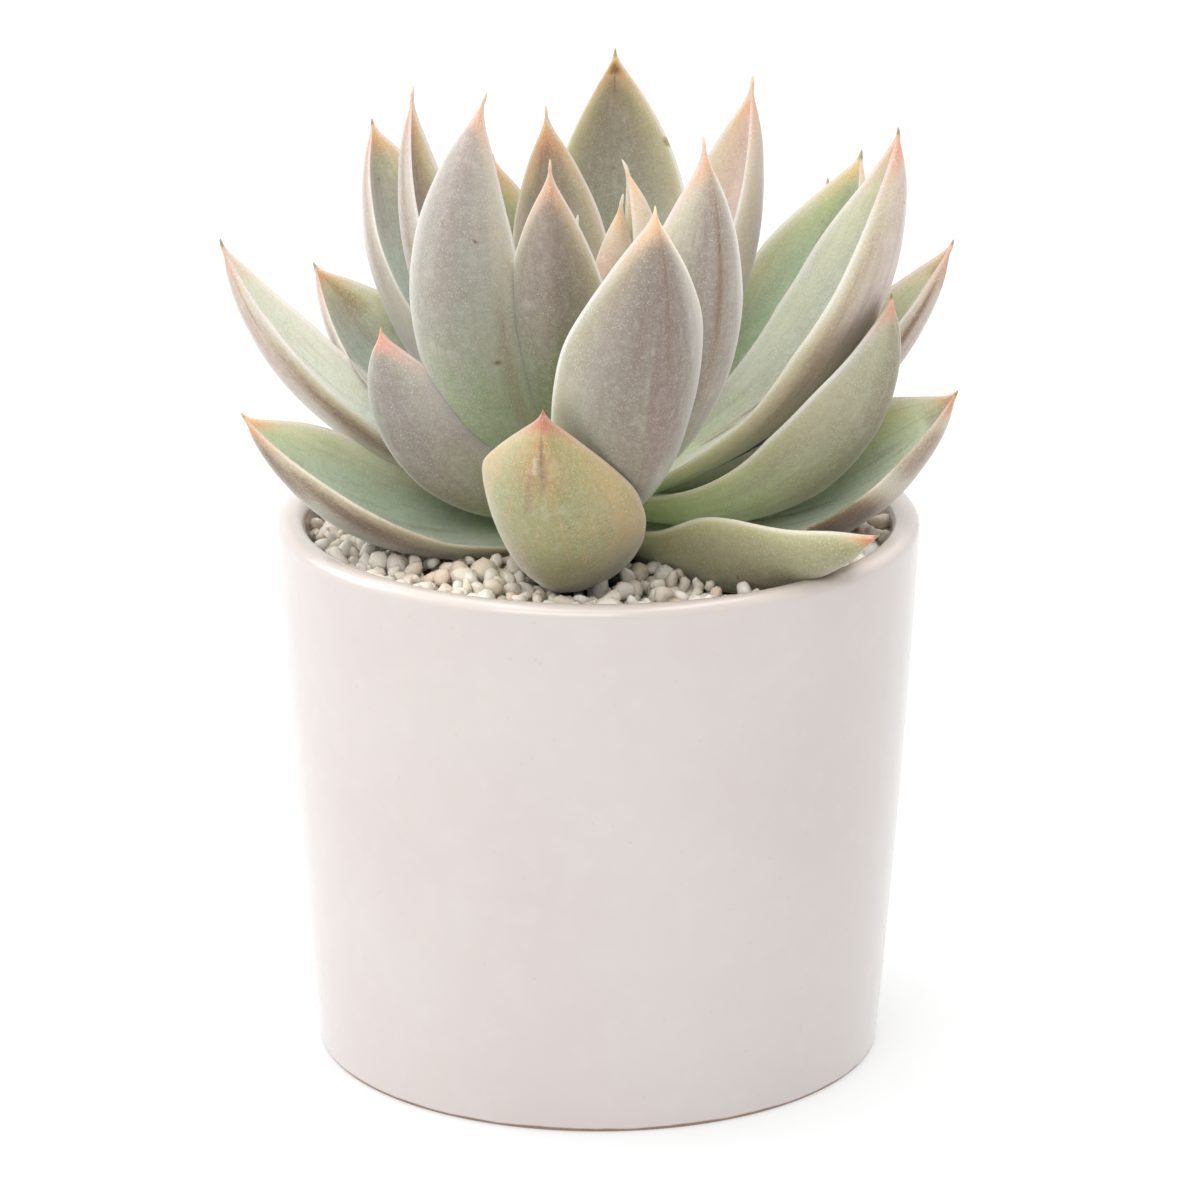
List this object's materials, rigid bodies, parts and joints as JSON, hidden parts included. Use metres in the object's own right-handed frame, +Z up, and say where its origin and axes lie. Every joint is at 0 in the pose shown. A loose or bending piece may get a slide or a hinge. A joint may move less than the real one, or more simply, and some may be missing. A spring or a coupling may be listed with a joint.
{
  "type": "potted succulent",
  "caption": "Rosette succulent with thick, pointed, upward-curving leaves in a plain, slightly tapered glazed pot topped with pale grit.",
  "frame": {"origin": "centre of the pot's flat underside, on the pot's axis", "axes": "+Z up along the pot's axis; -Y is the front; +X is to the right seen from the front"},
  "size_m": [0.1246, 0.1143, 0.1721],
  "materials": {
    "leaf_young": "satin",
    "leaf_old": "satin",
    "pot_glaze": "gloss",
    "potting_soil": "matte",
    "grit": "matte",
    "stem": "matte"
  },
  "bodies": {
    "root": {"leaf_heart_1": "leaf_young", "leaf_heart_2": "leaf_young", "leaf_heart_3": "leaf_young", "leaf_heart_4": "leaf_young", "leaf_heart_5": "leaf_young", "leaf_heart_6": "leaf_young", "leaf_inner_1": "leaf_young", "leaf_inner_2": "leaf_young", "leaf_inner_3": "leaf_young", "leaf_inner_4": "leaf_young", "leaf_inner_5": "leaf_young", "leaf_inner_6": "leaf_young", "leaf_middle_1": "leaf_young", "leaf_middle_2": "leaf_young", "leaf_middle_3": "leaf_young", "leaf_middle_4": "leaf_young", "leaf_middle_5": "leaf_young", "leaf_middle_6": "leaf_young", "leaf_middle_7": "leaf_young", "leaf_middle_8": "leaf_young", "leaf_lower_1": "leaf_old", "leaf_lower_2": "leaf_old", "leaf_lower_3": "leaf_old", "leaf_lower_4": "leaf_old", "leaf_lower_5": "leaf_old", "leaf_lower_6": "leaf_old", "leaf_outer_1": "leaf_old", "leaf_outer_2": "leaf_old", "leaf_outer_3": "leaf_old", "leaf_outer_4": "leaf_old", "leaf_outer_5": "leaf_old", "leaf_outer_6": "leaf_old", "leaf_outer_7": "leaf_old", "leaf_outer_8": "leaf_old", "leaf_outer_9": "leaf_old", "pot": "pot_glaze", "soil": "potting_soil", "grit": "grit", "stem": "stem"}
  },
  "joints": []
}
